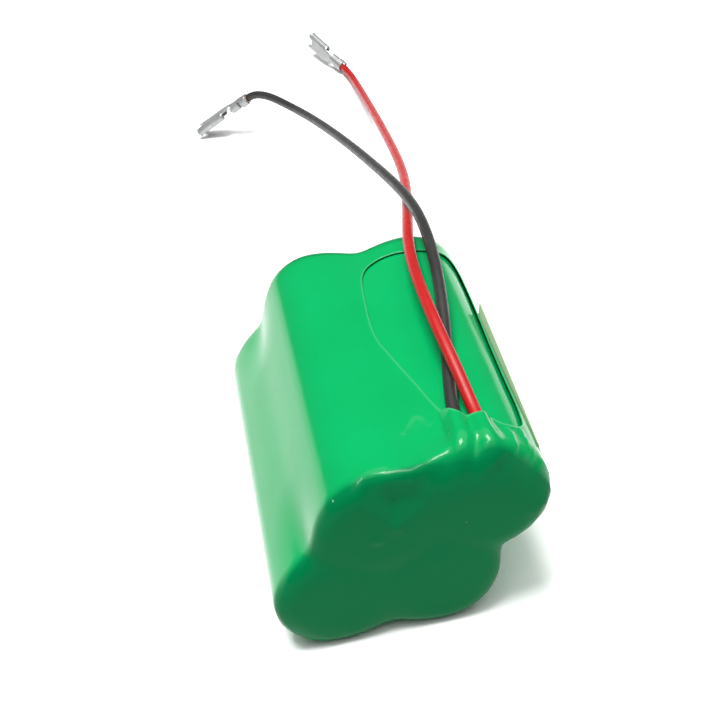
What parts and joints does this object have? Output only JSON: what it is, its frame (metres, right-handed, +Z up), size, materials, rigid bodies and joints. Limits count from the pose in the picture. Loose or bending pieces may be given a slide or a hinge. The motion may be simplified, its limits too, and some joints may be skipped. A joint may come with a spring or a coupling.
{
  "type": "battery pack",
  "caption": "Rechargeable battery pack: round cells nested in a green shrink sleeve with an opening, and red and black leads ending in push-on terminals.",
  "frame": {"origin": "under the middle of the pack, on the surface that it lies on; the free leads are not counted", "axes": "+Y along the cells towards the back end, from which the leads run away; +Z up; +X towards the side with the opening"},
  "size_m": [0.0402, 0.1804, 0.0339],
  "materials": {
    "sleeve": "thin glossy green heat-shrink film",
    "wrap": "green film wrapped round the cells",
    "jacket": "satin green shrink jacket on each cell",
    "steel": "nickel-plated steel can",
    "nickel": "pure nickel strip and plated contacts",
    "fibre": "pale insulating fibre sheet",
    "solder": "bright solder",
    "red_pvc": "semi-gloss red wire insulation",
    "black_pvc": "semi-gloss black wire insulation",
    "label": "pale adhesive paper label, blank"
  },
  "bodies": {
    "root": {"outer_sleeve": "sleeve", "inner_wrap": "wrap", "side_label": "label", "link_back_left": "nickel", "link_front_low": "nickel", "link_back_right": "nickel", "tab_negative": "nickel", "tab_positive": "nickel", "solder_negative": "solder", "solder_positive": "solder", "insulator_front": "fibre", "insulator_back": "fibre", "red_lead": "red_pvc", "black_lead": "black_pvc", "red_terminal": "nickel", "black_terminal": "nickel", "cell_1_can": "steel", "cell_1_button": "nickel", "cell_1_gasket": "fibre", "cell_1_jacket": "jacket", "cell_2_can": "steel", "cell_2_button": "nickel", "cell_2_gasket": "fibre", "cell_2_jacket": "jacket", "cell_3_can": "steel", "cell_3_button": "nickel", "cell_3_gasket": "fibre", "cell_3_jacket": "jacket", "cell_4_can": "steel", "cell_4_button": "nickel", "cell_4_gasket": "fibre", "cell_4_jacket": "jacket"}
  },
  "joints": []
}
